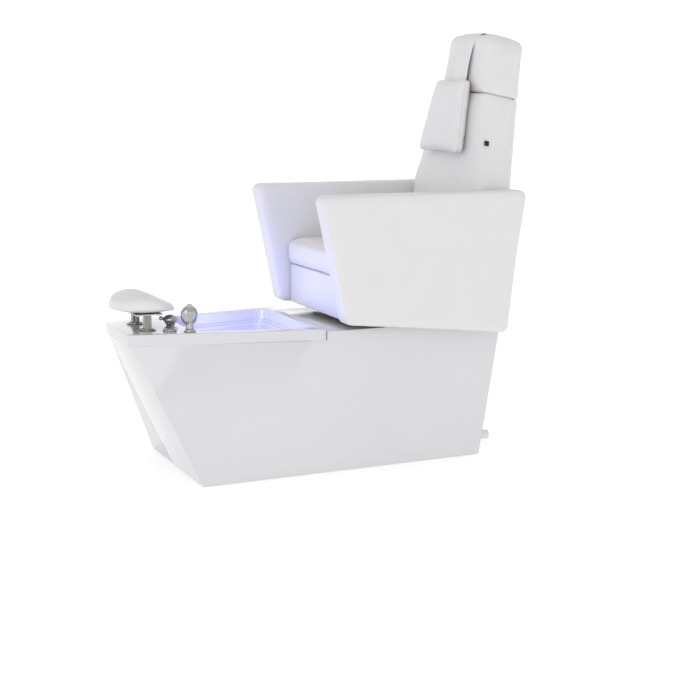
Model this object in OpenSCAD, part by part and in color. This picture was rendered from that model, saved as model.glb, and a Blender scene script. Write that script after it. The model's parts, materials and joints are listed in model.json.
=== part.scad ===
// Pedicure spa chair: a foot basin in a faceted plinth, with a sliding, reclining seat above it.
// Origin on the floor under the seat's front, +Z up, the sitter faces -Y, symmetric about X = 0.

/* [Plinth] */
// Height of the foot basin's rim above the floor
deck_z = 484; // [470:1:500]
// Height of the shelf that carries the seat
shelf_z = 474; // [466:1:478]
// Half width of the plinth at its front corners on the floor
floor_front_x = 295; // [285:1:305]
// Half width of the plinth at its rear corners
floor_rear_x = 239; // [232:1:246]
// Wall thickness of the plinth shell
shell_t = 5; // [4:0.5:6]

/* [Rim and basin] */
// Half width of the rim at its front end
rim_front_x = 148.5; // [146:0.5:152]
// Half width of the rim at its rear end
rim_rear_x = 286.5; // [284:0.5:290]
// Width of the rim beside the basin opening
rim_border = 34; // [30:1:38]
// Depth of the basin below the rim
basin_depth = 186; // [160:1:200]

/* [Seat] */
// Outer half width over the arms
arm_outer_x = 350; // [345:1:355]
// Inner half width between the arms
arm_inner_x = 265; // [262:1:268]
// Height of the arms
arm_top_z = 926; // [900:1:935]
// Height of the seat cushion's front edge
seat_top_z = 731; // [725:1:738]
// Farthest forward travel of the seat
seat_forward = 80; // [40:5:80]
// Farthest rearward travel of the seat
seat_back = 60; // [30:5:60]

/* [Backrest] */
// Lean of the backrest from upright, in degrees
lean = 12; // [10:0.5:14]
// Thickness of the backrest
back_t = 125; // [112:1:128]
// Length of the backrest above the arms
back_len = 521; // [500:1:530]
// Distance from the arms to the seam below the headrest
seam_s = 319; // [300:1:330]
// Radius of the recliner shaft
shaft_r = 9; // [8:0.5:10]

/* [Footrest] */
// Half distance between the two footrest posts
post_x = 74; // [70:1:80]
// Width of the square posts
post_w = 23.5; // [22:0.5:25]
// Half width of the foot pad
pad_x = 138; // [130:1:140]

/* [Water fittings] */
// Outer radius of the drain spigot
spigot_r = 16; // [15:0.5:18]
// Outer radius of the water inlets
inlet_r = 10.5; // [10:0.5:12]
// Radius of the air button's bezel
bezel_r = 23; // [20:1:25]

/* [Hidden] */
$fn = 48;
e = 0.01;

// Plinth outline
rim_t = 37;                       // height of the rim
rim_z = deck_z - rim_t;           // underside of the rim
rim_front_y = -700;
rim_rear_y = -65.5;
rim_front_r = 16;                 // corner radii of the rim's outline
rim_rear_r = 20;
floor_front_y = -505;
floor_rear_y = 516;
crease_x = 277;                   // where the side crease meets the rim
crease_y = -131;
top_front_y = -690;
top_rear_y = 596;
top_rear_x = 238;
shelf_front_x = 273.5;
rear_lean = atan((top_rear_y - floor_rear_y) / shelf_z);

// Basin
basin_front_y = -482;
basin_rear_y = rim_rear_y - 32;
basin_r = 45;                     // corner radius of the opening
basin_t = 5;
basin_z = deck_z - basin_depth;
basin_taper = 22;                 // how far the walls lean in at the floor
drain_y = -290;
drain_r = 22;
rim_slope = (rim_rear_x - rim_front_x) / (rim_rear_y - rim_front_y);

// Deck fittings
fit_z = deck_z;                   // fittings stand on the rim
post_y = -617;
sleeve_r = 18;
mixer_pos = [67, -537];
shower_pos = [153, -497];
holder_r = 14;                    // shower holder below the rim
mixer_r = 16;                     // mixer below the rim
button_r = 16.8;                  // air button below the rim
hole_gap = 0.2;
button_pos = [115, -553];
pipe_r = 6;
pipe_z = 60;
inlet_x = [-120, -80];
spigot_x = 205;
spigot_end = 566;
inlet_end = 553;
stub_y = floor_rear_y - 15;       // inner end of the stubs through the rear wall
shoulder_y = 531;
drain_out_r = 14.6;               // outer radius of the drain pipe

// Seat slide
rail_x = 150;
rail_w = 40;
rail_h = 14;
rail_t = 3;
rail_front_y = 80;
rail_rear_y = 585;
glide_t = 2;
base_front_y = 70;
base_rear_y = 545;
base_x = 200;
base_z = 496;                     // underside of the seat base plate
frame_z = 504;                    // top of the seat base plate
pan_z = 620;
pan_t = 12;
cushion_z = pan_z + pan_t;
actuator_z = 430;
actuator_y = 375;
lug_y = 300;
slot_x = 16;

// Recliner
shaft_y = 490;
shaft_z = 615;
shaft_len = 250;
clear_r = 0.05;                   // running clearance on a radius
hinge_x = 236;                    // inner face of the hinge plates
hinge_t = 8;
ear_x = 200;

// Backrest frame: local x across, y rearward through the thickness, z up along the back
back_y = 498.3;
back_z = 931.8;
back_low = -270;                  // lower end of the back cushion
back_x = 258;                     // half width between the arms
back_taper = 0.246;               // narrowing above the arms
board_y = 90;
board_t = 12;
board_low = -275;
seam_gap = 2;
head_top_x = 148;                 // half width of the headrest at its top
head_rake = 14;                   // how far the headrest leans forward at its top

// ---- helpers ----

// Points of a polygon with every corner rounded to its own radius
function unit(v) = v / norm(v);
function corner(a, b, c, r, n) =
    let (
        u = unit(a - b),
        w = unit(c - b),
        half = acos(u * w) / 2,
        middle = b + unit(u + w) * r / sin(half),
        from = b + u * r / tan(half) - middle,
        to = b + w * r / tan(half) - middle,
        a0 = atan2(from[1], from[0]),
        raw = atan2(to[1], to[0]) - a0,
        turn = raw > 180 ? raw - 360 : raw < -180 ? raw + 360 : raw
    )
    [for (k = [0 : n]) middle + r * [cos(a0 + turn * k / n), sin(a0 + turn * k / n)]];
function rounded(pts, radii, n = 6) =
    let (m = len(pts))
    [for (i = [0 : m - 1]) each corner(pts[(i + m - 1) % m], pts[i], pts[(i + 1) % m], radii[i], n)];

// A flat outline in the YZ plane, given thickness along X between two positions
module along_x(x0, x1) {
    translate([x0, 0, 0]) rotate([90, 0, 90]) linear_extrude(x1 - x0) children();
}

module both_sides() {
    children();
    mirror([1, 0, 0]) children();
}

// A round bar between two points
module bar(a, b, r) {
    d = b - a;
    translate(a) rotate([0, acos(d[2] / norm(d)), atan2(d[1], d[0])]) cylinder(h = norm(d), r = r);
}

// Straight runs of pipe with ball elbows, a little fatter than the pipe
elbow = 1;
module pipe_run(route, r) {
    for (i = [1 : len(route) - 1]) bar(route[i - 1], route[i], r);
    for (i = [1 : 1 : len(route) - 2]) translate(route[i]) sphere(r = r + elbow);
}

module on_back() {
    translate([0, back_y, back_z]) rotate([-lean, 0, 0]) children();
}

// An outline across the back, given thickness through it
module through_back(y0, y1) {
    translate([0, y1, 0]) rotate([90, 0, 0]) linear_extrude(y1 - y0) children();
}

// Half width of the backrest at a distance up from the arms
function back_half(s) = back_x - back_taper * max(s, 0);

// ---- plinth ----

// A closed outline symmetric about X = 0, from its points on the +X side
function both_halves(p) = [each p, for (k = [len(p) - 1 : -1 : 0]) [-p[k][0], p[k][1]]];

// The faceted body below the rim, moved inwards by a wall thickness
module plinth_solid(t, z0, z1) {
    edge = 1;
    rear_y = floor_rear_y + (top_rear_y - floor_rear_y) * z1 / shelf_z;
    hull() {
        translate([0, 0, z0]) linear_extrude(edge) polygon(both_halves([
            [floor_front_x - t, floor_front_y + t], [floor_rear_x - t, floor_rear_y - t]
        ]));
        translate([0, 0, z1 - edge]) linear_extrude(edge) polygon(both_halves([
            [rim_front_x - t, top_front_y + t], [crease_x - t, crease_y], [top_rear_x - t, rear_y - t]
        ]));
    }
}

module shelf_outline(t) {
    polygon([
        [-shelf_front_x + t, rim_rear_y + t], [shelf_front_x - t, rim_rear_y + t],
        [top_rear_x - t, top_rear_y - t], [-top_rear_x + t, top_rear_y - t]
    ]);
}

panel_x = 150;
panel_low = 120;
panel_high = 390;
panel_lip = 12;

module on_rear_face() {
    translate([0, floor_rear_y, 0]) rotate([-rear_lean, 0, 0]) children();
}

module plinth_shell() color("white") difference() {
    union() {
        plinth_solid(0, 2, rim_z);
        translate([0, 0, rim_z - e]) linear_extrude(shelf_z - rim_z + e) shelf_outline(0);
    }
    plinth_solid(shell_t, -1, rim_z - shell_t);
    translate([0, 0, rim_z - 2 * shell_t]) linear_extrude(shelf_z - rim_z + shell_t) shelf_outline(shell_t);
    // the moulding is open below the rim
    translate([0, 0, rim_z - 2 * shell_t]) linear_extrude(3 * shell_t) polygon([
        [-rim_front_x + 2 * shell_t, rim_front_y + 4 * shell_t],
        [rim_front_x - 2 * shell_t, rim_front_y + 4 * shell_t],
        [crease_x - 5 * shell_t, crease_y], [crease_x - 5 * shell_t, rim_rear_y - shell_t],
        [-crease_x + 5 * shell_t, rim_rear_y - shell_t], [-crease_x + 5 * shell_t, crease_y]
    ]);
    translate([-slot_x, lug_y - seat_forward - 25, shelf_z - 2 * shell_t])
        cube([2 * slot_x, seat_forward + seat_back + 50, 3 * shell_t]);
    on_rear_face() translate([-panel_x + panel_lip, -3 * shell_t, panel_low + panel_lip])
        cube([2 * (panel_x - panel_lip), 5 * shell_t, panel_high - panel_low - 2 * panel_lip]);
    translate([spigot_x, floor_rear_y - 40, pipe_z]) rotate([-90, 0, 0]) cylinder(h = 80, r = spigot_r - 0.6);
    for (x = inlet_x)
        translate([x, floor_rear_y - 40, pipe_z]) rotate([-90, 0, 0]) cylinder(h = 80, r = inlet_r - 0.6);
    on_rear_face() translate([40, -3 * shell_t, 40]) cube([50, 5 * shell_t, 34]);
}

module base_plate() color("silver") linear_extrude(2) polygon([
    [-floor_front_x + 25, floor_front_y + 25], [floor_front_x - 25, floor_front_y + 25],
    [floor_rear_x - 15, floor_rear_y - 15], [-floor_rear_x + 15, floor_rear_y - 15]
]);

frame_x = 165;
frame_front_y = -30;
frame_back_y = 480;
frame_w = 30;

module base_frame() color("dimgray") {
    top = shelf_z - shell_t;
    both_sides() {
        for (y = [frame_front_y, frame_back_y])
            translate([frame_x - frame_w / 2, y - frame_w / 2, 2]) cube([frame_w, frame_w, top - 2]);
        translate([frame_x - frame_w / 2, frame_front_y, top - frame_w])
            cube([frame_w, frame_back_y - frame_front_y, frame_w]);
        translate([frame_x - frame_w / 2, frame_front_y, 2])
            cube([frame_w, frame_back_y - frame_front_y, frame_w]);
    }
    for (y = [frame_front_y, frame_back_y]) translate([-frame_x, y - frame_w / 2, 2])
        cube([2 * frame_x, frame_w, frame_w]);
}

module access_panel() color("white") on_rear_face()
    translate([-panel_x, 0.2, panel_low]) cube([2 * panel_x, 3, panel_high - panel_low]);

module panel_screws() color("silver") on_rear_face()
    for (x = [-1, 1], z = [panel_low + 8, panel_high - 8])
        translate([x * (panel_x - 8), 3.2, z]) rotate([-90, 0, 0]) difference() {
            cylinder(h = 2, r = 4);
            translate([0, 0, 1]) cylinder(h = 2, r = 1.6, $fn = 6);
        }

// ---- rim and basin ----

function rim_half(y) = rim_front_x + rim_slope * (y - rim_front_y);
function basin_points(inset) = [
    [rim_half(basin_rear_y) - rim_border - inset, basin_rear_y - inset],
    [-rim_half(basin_rear_y) + rim_border + inset, basin_rear_y - inset],
    [-rim_half(basin_front_y) + rim_border + inset, basin_front_y + inset],
    [rim_half(basin_front_y) - rim_border - inset, basin_front_y + inset]
];

module basin_outline(inset) {
    r = basin_r - inset * 0.4;
    polygon(rounded(basin_points(inset), [r, r, r, r]));
}

module rim_outline() {
    polygon(rounded([
        [rim_front_x, rim_front_y], [rim_rear_x, rim_rear_y],
        [-rim_rear_x, rim_rear_y], [-rim_front_x, rim_front_y]
    ], [rim_front_r, rim_rear_r, rim_rear_r, rim_front_r]));
}

module deck_rim() color("white") difference() {
    translate([0, 0, rim_z]) linear_extrude(rim_t) rim_outline();
    translate([0, 0, rim_z - 1]) linear_extrude(rim_t + 2) basin_outline(0);
    for (s = [-1, 1]) translate([s * post_x, post_y, rim_z - 1]) cylinder(h = rim_t + 2, r = sleeve_r + hole_gap);
    translate([mixer_pos[0], mixer_pos[1], rim_z - 1]) cylinder(h = rim_t + 2, r = mixer_r + hole_gap);
    translate([shower_pos[0], shower_pos[1], rim_z - 1]) cylinder(h = rim_t + 2, r = holder_r + hole_gap);
    translate([button_pos[0], button_pos[1], rim_z - 1]) cylinder(h = rim_t + 2, r = button_r + hole_gap);
}

module basin_solid(inset, z0) {
    hull() {
        translate([0, 0, rim_z - 8]) linear_extrude(8) basin_outline(inset);
        translate([0, 0, z0]) linear_extrude(1) basin_outline(inset + basin_taper);
    }
}

jet_x = 130;
jet_z = 350;
jet_hole_r = 9;

module jet_places() {
    for (x = [-jet_x, 0, jet_x]) translate([x, basin_rear_y, jet_z]) rotate([90, 0, 0]) children();
}

module basin() color([0.86, 0.88, 1]) difference() {
    union() {
        basin_solid(0, basin_z);
        translate([0, 0, rim_z - 5]) linear_extrude(5) basin_outline(-8);
    }
    translate([0, 0, 1]) basin_solid(basin_t, basin_z + basin_t);
    translate([0, drain_y, basin_z - 1]) cylinder(h = 2 * basin_t + 2, r = drain_r);
    jet_places() translate([0, 0, -4]) cylinder(h = 40, r = jet_hole_r);
    translate([shower_pos[0], shower_pos[1], rim_z - 20]) cylinder(h = 21, r = holder_r + 0.4);
}

led_z = 430;
module led_strip() color([0.6, 0.6, 1]) difference() {
    translate([0, 0, led_z]) linear_extrude(8) basin_outline(basin_t + 2.6);
    translate([0, 0, led_z - 1]) linear_extrude(10) basin_outline(basin_t + 6);
}

module jet_nozzles() color("gainsboro") jet_places() {
    difference() {
        union() {
            cylinder(h = 27, r = jet_hole_r - 0.1);
            translate([0, 0, 22.8]) cylinder(h = 5.2, r = 17);
        }
        translate([0, 0, -1]) cylinder(h = 40, r = 4);
    }
}

pump_pos = [0, 60, 110];
outlet_x = 25;
outlet_z = 54;                    // top of the pump's outlet boss above its axis
module jet_pump() color("dimgray") translate(pump_pos) {
    rotate([0, 90, 0]) cylinder(h = 120, r = 48, center = true);
    translate([-95, 0, 0]) rotate([0, 90, 0]) cylinder(h = 70, r = 34, center = true);
    translate([-60, -60, -108]) cube([120, 120, 60]);
    translate([outlet_x, 0, 40]) cylinder(h = outlet_z - 40, r = 13);
}

module jet_pipes() color("gainsboro") {
    for (x = [-jet_x, 0, jet_x])
        pipe_run([[x, basin_rear_y + e, jet_z], [x, basin_rear_y + 45, jet_z]], 8);
    pipe_run([[-jet_x - 12, basin_rear_y + 45, jet_z], [jet_x + 12, basin_rear_y + 45, jet_z]], 10);
    pipe_run([[outlet_x, basin_rear_y + 45, jet_z], [outlet_x, basin_rear_y + 45, 250],
        [outlet_x, pump_pos[1], 250], [outlet_x, pump_pos[1], pump_pos[2] + outlet_z]], 10);
}

module drain_strainer() color("silver") translate([0, drain_y, basin_z]) difference() {
    union() {
        translate([0, 0, -12]) cylinder(h = 17, r = drain_r - 0.1);
        translate([0, 0, basin_t + 1]) cylinder(h = 2, r = drain_r + 6);
        translate([0, 0, basin_t - e]) cylinder(h = 1 + 2 * e, r = drain_r - 0.1);
    }
    translate([0, 0, -8]) cylinder(h = 30, r = 17);
    for (a = [0 : 60 : 300]) rotate([0, 0, a]) translate([9, 0, -20]) cylinder(h = 30, r = 3.2);
    translate([0, 0, -20]) cylinder(h = 30, r = 3);
}

module drain_plug() color("silver") translate([0, drain_y, basin_z]) {
    translate([0, 0, -6]) cylinder(h = 14, r = 16.5);
    translate([0, 0, 8.2]) cylinder(h = 4, r = 21);
    translate([0, 0, 7.9]) cylinder(h = 0.5, r = 16.5);
    translate([0, 0, 12]) cylinder(h = 7, r = 4);
}

module drain_pipe() color("gray") difference() {
    drain_run(drain_out_r, 0);
    drain_run(drain_out_r - 2.5, 1);
}

module drain_run(r, over) {
    pipe_run([[0, drain_y, basin_z - 12 + over], [0, drain_y, pipe_z], [spigot_x, drain_y, pipe_z],
        [spigot_x, floor_rear_y - 15 + over, pipe_z]], r);
}

// A stub through the rear wall: a narrower tail inside, a shoulder outside the wall, then the connection
module wall_stub(r, bore, shoulder, end_y) {
    rotate([-90, 0, 0]) difference() {
        union() {
            translate([0, 0, stub_y]) cylinder(h = shoulder_y - stub_y + 1, r = r - 1);
            translate([0, 0, shoulder_y]) cylinder(h = 4, r = shoulder);
            translate([0, 0, shoulder_y + 4 - e]) cylinder(h = end_y - shoulder_y - 4 + e, r = r);
        }
        translate([0, 0, stub_y - 1]) cylinder(h = end_y - stub_y + 2, r = bore);
    }
}

module drain_spigot() color("whitesmoke") translate([spigot_x, 0, pipe_z])
    wall_stub(spigot_r, spigot_r - 3, spigot_r + 4, spigot_end);

module water_inlets() color("silver") for (x = inlet_x) translate([x, 0, pipe_z])
    wall_stub(inlet_r, inlet_r - 3, inlet_r + 4, inlet_end);

module supply_pipes() color("firebrick") for (k = [0, 1]) {
    x = inlet_x[k];
    y = basin_front_y - 14 - 15 * k;
    lift = 392 + 16 * k;
    mx = mixer_pos[0] - 7 + 14 * k;
    pipe_run([[x, floor_rear_y - 15, pipe_z], [x, y, pipe_z], [x, y, lift], [mx, y, lift],
        [mx, mixer_pos[1], lift], [mx, mixer_pos[1], 430]], pipe_r);
}

module control_box() color("dimgray") translate([-10, 330, 2]) cube([130, 90, 140]);

module power_inlet() color([0.1, 0.1, 0.1]) on_rear_face() translate([40.3, -20, 40.3]) difference() {
    union() {
        cube([49.4, 20.2, 33.4]);
        translate([-4, 20.2, -4]) cube([57.4, 2.5, 41.4]);
    }
    translate([8, 4, 6]) cube([33.4, 30, 21.4]);
}

// ---- deck fittings ----

module square_tube(w, z0, z1) {
    translate([-w / 2, -w / 2, z0]) cube([w, w, z1 - z0]);
}

module post_sleeves() color([0.35, 0.34, 0.33]) for (s = [-1, 1]) translate([s * post_x, post_y, 0])
    difference() {
        union() {
            translate([0, 0, 395]) cylinder(h = fit_z - 395, r = sleeve_r);
            translate([0, 0, fit_z]) cylinder(h = 3, r = 29);
            translate([0, 0, fit_z + 3]) cylinder(h = 4, r = 22);
        }
        square_tube(post_w + 0.6, 390, fit_z + 10);
    }

post_low = 345;
plate_z = 537;
module foot_posts() color([0.42, 0.41, 0.4]) for (s = [-1, 1]) translate([s * post_x, post_y, 0])
    difference() {
        square_tube(post_w, post_low, plate_z);
        square_tube(post_w - 5, post_low - 1, plate_z + 1);
    }

plate_t = 4;
module screw_places() {
    for (x = [-95, 95], y = [-35, 35]) translate([x, post_y + y, plate_z]) children();
}

module foot_plate() color("dimgray") difference() {
    translate([-105, post_y - 45, plate_z]) cube([210, 90, plate_t]);
    screw_places() translate([0, 0, -1]) cylinder(h = plate_t + 2, r = 2.6);
}

module pad_screws() color("silver") screw_places() {
    translate([0, 0, -e]) cylinder(h = plate_t + e, r = 2.55);
    translate([0, 0, -3]) cylinder(h = 3, r = 5);
}

pad_z = plate_z + plate_t;
module foot_pad() color("white") along_x(-pad_x, pad_x) polygon(rounded([
    [-512, pad_z], [-716, pad_z], [-718, 588], [-640, 611], [-512, 560]
], [6, 14, 18, 30, 9]));

module mixer_base() color("silver") translate([mixer_pos[0], mixer_pos[1], 0]) {
    translate([0, 0, 430]) cylinder(h = fit_z - 430, r = mixer_r);
    translate([0, 0, fit_z]) cylinder(h = 4, r = 24);
    translate([0, 0, fit_z + 4]) cylinder(h = 16, r = 18);
}

cap_z = fit_z + 20.2;
pin_r = 2;
module mixer_cap() color("silver") translate([mixer_pos[0], mixer_pos[1], cap_z]) {
    difference() {
        cylinder(h = 18, r = 18.5);
        translate([-5.2, -20, 6]) cube([10.4, 40, 20]);
    }
    translate([-6, 0, 12]) rotate([0, 90, 0]) cylinder(h = 12, r = pin_r);
}

lever_z = cap_z + 12;
module mixer_lever() color("silver") translate([mixer_pos[0], mixer_pos[1], lever_z]) difference() {
    union() {
        translate([0, -29, 4]) rotate([-90, 0, 0]) cylinder(h = 30, r = 3.4);
        rotate([0, 90, 0]) cylinder(h = 9.6, r = 4.8, center = true);
        translate([0, -31, 4]) sphere(r = 7);
        translate([-4.6, -3, 1]) cube([9.2, 26, 7]);
    }
    rotate([0, 90, 0]) cylinder(h = 20, r = pin_r + clear_r, center = true);
}

module shower_holder() color("silver") translate([shower_pos[0], shower_pos[1], 0]) difference() {
    union() {
        translate([0, 0, 436]) cylinder(h = fit_z - 436, r = holder_r);
        translate([0, 0, fit_z]) cylinder(h = 4, r = 20);
        translate([0, 0, fit_z + 4]) cylinder(h = 5, r = 15.5);
    }
    translate([0, 0, 440]) cylinder(h = 70, r = 11.3);
}

shower_head_z = 541;
module hand_shower() color("silver") translate([shower_pos[0], shower_pos[1], 0]) {
    translate([0, 0, 445]) cylinder(h = 50, r = 11);
    translate([0, 0, 494]) cylinder(h = 22, r1 = 12.5, r2 = 8.8);
    translate([-9, 0, shower_head_z]) rotate([0, 90, 0]) cylinder(h = 15, r = 28.5);
    translate([-4, -8, shower_head_z + 24]) cube([8, 16, 9]);
    for (k = [-1 : 1]) translate([5, k * 5 - 1.2, 520]) cube([4, 2.4, 36]);
}

module shower_face() color("whitesmoke") translate([shower_pos[0] - 12, shower_pos[1], shower_head_z])
    rotate([0, 90, 0]) difference() {
        cylinder(h = 3, r = 25);
        for (a = [0 : 45 : 315]) rotate([0, 0, a]) translate([16, 0, -1]) cylinder(h = 2, r = 1.2);
    }

module button_bezel() color("silver") translate([button_pos[0], button_pos[1], 0]) difference() {
    union() {
        translate([0, 0, fit_z]) cylinder(h = 7, r = bezel_r);
        translate([0, 0, 440]) cylinder(h = fit_z - 440, r = button_r);
        translate([0, 0, 430]) cylinder(h = 11, r = 3);
    }
    translate([0, 0, 445]) cylinder(h = 60, r = 14.3);
}

module button_cap() color([0.6, 0.75, 0.68]) translate([button_pos[0], button_pos[1], 0]) {
    translate([0, 0, fit_z + 1]) cylinder(h = 8, r = 14);
    translate([0, 0, 470]) cylinder(h = fit_z + 1 - 470 + e, r = 5);
    translate([0, 0, 470]) cylinder(h = 3, r = 9);
}

module button_bellows() color([0.15, 0.15, 0.15]) translate([button_pos[0], button_pos[1], 0])
    rotate_extrude() polygon([
        [6, 445], [11, 445], [12, 448], [8, 451], [12, 454], [8, 457], [12, 460], [8, 463], [12, 466],
        [10, 470], [5.5, 470], [5.5, 467]
    ]);

// ---- seat slide ----

module lower_rails() color("dimgray") both_sides() translate([rail_x - rail_w / 2, rail_front_y, shelf_z])
    difference() {
        cube([rail_w, rail_rear_y - rail_front_y, rail_h]);
        translate([rail_t, -1, rail_t]) cube([rail_w - 2 * rail_t, 1000, rail_h]);
    }

module glide_strips() color("ivory") both_sides()
    translate([rail_x - rail_w / 2 + rail_t + 1, rail_front_y, shelf_z + rail_t])
    cube([rail_w - 2 * rail_t - 2, rail_rear_y - rail_front_y, glide_t]);

upper_rear_y = 480;
module upper_rails() color("gray") {
    z = shelf_z + rail_t + glide_t + 0.2;
    both_sides() translate([rail_x - rail_w / 2 + rail_t + 1, base_front_y + 10, z])
        cube([rail_w - 2 * rail_t - 2, upper_rear_y - base_front_y - 10, base_z - z]);
}

module slide_actuator() color("dimgray") difference() {
    union() {
        translate([0, actuator_y, actuator_z]) rotate([-90, 0, 0]) cylinder(h = 190, r = 22);
        translate([-30, actuator_y + 60, actuator_z]) cube([60, 50, shelf_z - shell_t - actuator_z]);
        translate([-20, actuator_y + 120, actuator_z - 75]) cube([40, 60, 75]);
    }
    translate([0, actuator_y - 1, actuator_z]) rotate([-90, 0, 0]) cylinder(h = 184, r = 10 + clear_r);
}

module actuator_rod() color("silver") {
    translate([0, lug_y - 16, actuator_z]) rotate([-90, 0, 0]) cylinder(h = 214, r = 10);
    difference() {
        translate([-14, lug_y - 12, actuator_z - 15]) cube([28, 24, base_z - actuator_z + 15]);
        translate([0, lug_y - 20, actuator_z]) rotate([-90, 0, 0]) cylinder(h = 60, r = 10);
    }
}

module seat_base() color([0.08, 0.08, 0.08]) difference() {
    union() {
        translate([-base_x, base_front_y, base_z]) cube([2 * base_x, base_rear_y - base_front_y, frame_z - base_z]);
        translate([-base_x, base_front_y, shelf_z + 3]) cube([2 * base_x, 6, base_z - shelf_z - 3 + e]);
    }
    for (s = [-1, 1]) translate([s * rail_x - rail_w / 2 - 3, base_front_y - 1, shelf_z])
        cube([rail_w + 6, 8, rail_h + 3]);
}

// ---- seat ----

module seat_frame() color("dimgray") {
    w = 30;
    both_sides() {
        translate([base_x, 32, frame_z]) cube([w, 520, w]);
        for (y = [32, 395]) translate([base_x, y, frame_z + w - e]) cube([w, w, pan_z - frame_z - w + e]);
        for (y = [110, 440]) translate([base_x + w - e, y, frame_z + 4])
            cube([arm_inner_x - base_x - w + e, 40, 22]);
        difference() {
            along_x(hinge_x, hinge_x + hinge_t) polygon([
                [shaft_y - 50, frame_z + 18], [shaft_y + 50, frame_z + 18],
                [shaft_y + 20, shaft_z + 22], [shaft_y - 20, shaft_z + 22]
            ]);
            translate([hinge_x - 1, shaft_y, shaft_z]) rotate([0, 90, 0]) cylinder(h = hinge_t + 2, r = 13);
        }
    }
    for (y = [32, 395, 522]) translate([-base_x - e, y, frame_z]) cube([2 * base_x + 2 * e, w, w]);
}

module seat_pan() color("burlywood") translate([-250, 28, pan_z]) cube([500, 402, pan_t]);

module seat_cushion() color("white") along_x(-arm_inner_x + 3, arm_inner_x - 3) polygon(rounded([
    [434, cushion_z], [6, cushion_z], [-13, 655], [-10, 722], [30, seat_top_z], [200, 722], [444, 705]
], [6, 10, 22, 18, 30, 60, 12], 4));

module apron() color("white") translate([-arm_inner_x + 10, 6, 500])
    cube([2 * (arm_inner_x - 10), 18, cushion_z - 500]);

arm_front_top = [-116.5, arm_top_z];
arm_rear_top = [629, arm_top_z];
arm_rear_low = [569, 437];
arm_front_low = [-28.5, 499];
skirt_x = 308;
module arm(inner) difference() {
    along_x(inner, arm_outer_x)
        polygon(rounded([arm_front_top, arm_rear_top, arm_rear_low, arm_front_low], [24, 24, 24, 24]));
    // only the outer skirt hangs down beside the plinth
    translate([inner - 1, -200, 400]) cube([skirt_x - inner + 1, 1000, shelf_z + 6 - 400]);
}

module left_arm() color("white") arm(arm_inner_x);
module right_arm() color("white") mirror([1, 0, 0]) arm(arm_inner_x);

module rear_panel() color("white") translate([-arm_inner_x, 558, shelf_z + rail_h + 2])
    cube([2 * arm_inner_x, 12, 90]);

module hinge_bushes() color("goldenrod") both_sides() translate([hinge_x - 3, shaft_y, shaft_z])
    rotate([0, 90, 0]) difference() {
        union() {
            cylinder(h = hinge_t + 3, r = 13);
            cylinder(h = 3, r = 17);
        }
        translate([0, 0, -1]) cylinder(h = hinge_t + 5, r = shaft_r + clear_r);
    }

module recliner_motor() color("dimgray") difference() {
    union() {
        translate([60, 440, 575]) cube([110, 75, 61]);
        translate([80, 455, frame_z]) cube([70, 50, 575 - frame_z + e]);
        translate([95, 440 + e, 600]) rotate([90, 0, 0]) cylinder(h = 60, r = 19);
    }
    translate([50, shaft_y, shaft_z]) rotate([0, 90, 0]) cylinder(h = 130, r = shaft_r + clear_r);
}

// ---- backrest ----

module recliner_shaft() color("silver") {
    translate([-shaft_len, shaft_y, shaft_z]) rotate([0, 90, 0]) cylinder(h = 2 * shaft_len, r = shaft_r);
    both_sides() difference() {
        along_x(ear_x - 4, ear_x + 4) polygon(rounded([
            [shaft_y - 20, shaft_z - 12], [shaft_y + 16, shaft_z - 16], [541, 641.2], [528.5, 643.9]
        ], [9, 9, 1, 1], 4));
        translate([ear_x - 6, shaft_y, shaft_z]) rotate([0, 90, 0]) cylinder(h = 12, r = shaft_r);
    }
}

module board_outline() {
    inset = 30;
    polygon([
        [-back_x + inset, board_low], [back_x - inset, board_low], [back_x - inset, 0],
        [back_half(back_len) - inset, back_len - inset], [-back_half(back_len) + inset, back_len - inset],
        [-back_x + inset, 0]
    ]);
}

module back_board() color("burlywood") on_back() through_back(board_y, board_y + board_t) board_outline();

module low_outline() {
    polygon(rounded([
        [-back_x, back_low], [back_x, back_low], [back_x, 0], [back_half(seam_s), seam_s - seam_gap],
        [-back_half(seam_s), seam_s - seam_gap], [-back_x, 0]
    ], [30, 30, 40, 8, 8, 40]));
}

module head_outline() {
    polygon(rounded([
        [-back_half(seam_s), seam_s], [back_half(seam_s), seam_s], [head_top_x, back_len], [-head_top_x, back_len]
    ], [8, 8, 38, 38]));
}

// The headrest's side outline, which leans forward towards its top
module head_side() {
    along_x(-back_x, back_x) polygon([
        [0, seam_s - seam_gap], [back_t, seam_s - seam_gap], [back_t - head_rake / 2, back_len + seam_gap],
        [-head_rake, back_len + seam_gap]
    ]);
}

module back_cushion() color("white") on_back() through_back(0, board_y) low_outline();
module headrest_cushion() color("white") on_back() intersection() {
    through_back(-head_rake, board_y) head_outline();
    head_side();
}

module board_pocket() {
    through_back(board_y - 1, board_y + board_t) union() {
        board_outline();
        translate([-back_x + 30, back_low - 20]) square([2 * (back_x - 30), 60]);
    }
}

module back_cover() color("white") on_back() difference() {
    through_back(board_y, back_t) low_outline();
    board_pocket();
}

module headrest_cover() color("white") on_back() difference() {
    intersection() {
        through_back(board_y, back_t) head_outline();
        head_side();
    }
    board_pocket();
}

tag_s = 147;
module blank_tag() color("black") on_back()
    translate([back_half(tag_s) + 0.5, 12, tag_s]) rotate([0, -atan(back_taper), 0])
    translate([0, -9, -8]) cube([1.2, 18, 17]);

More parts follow.
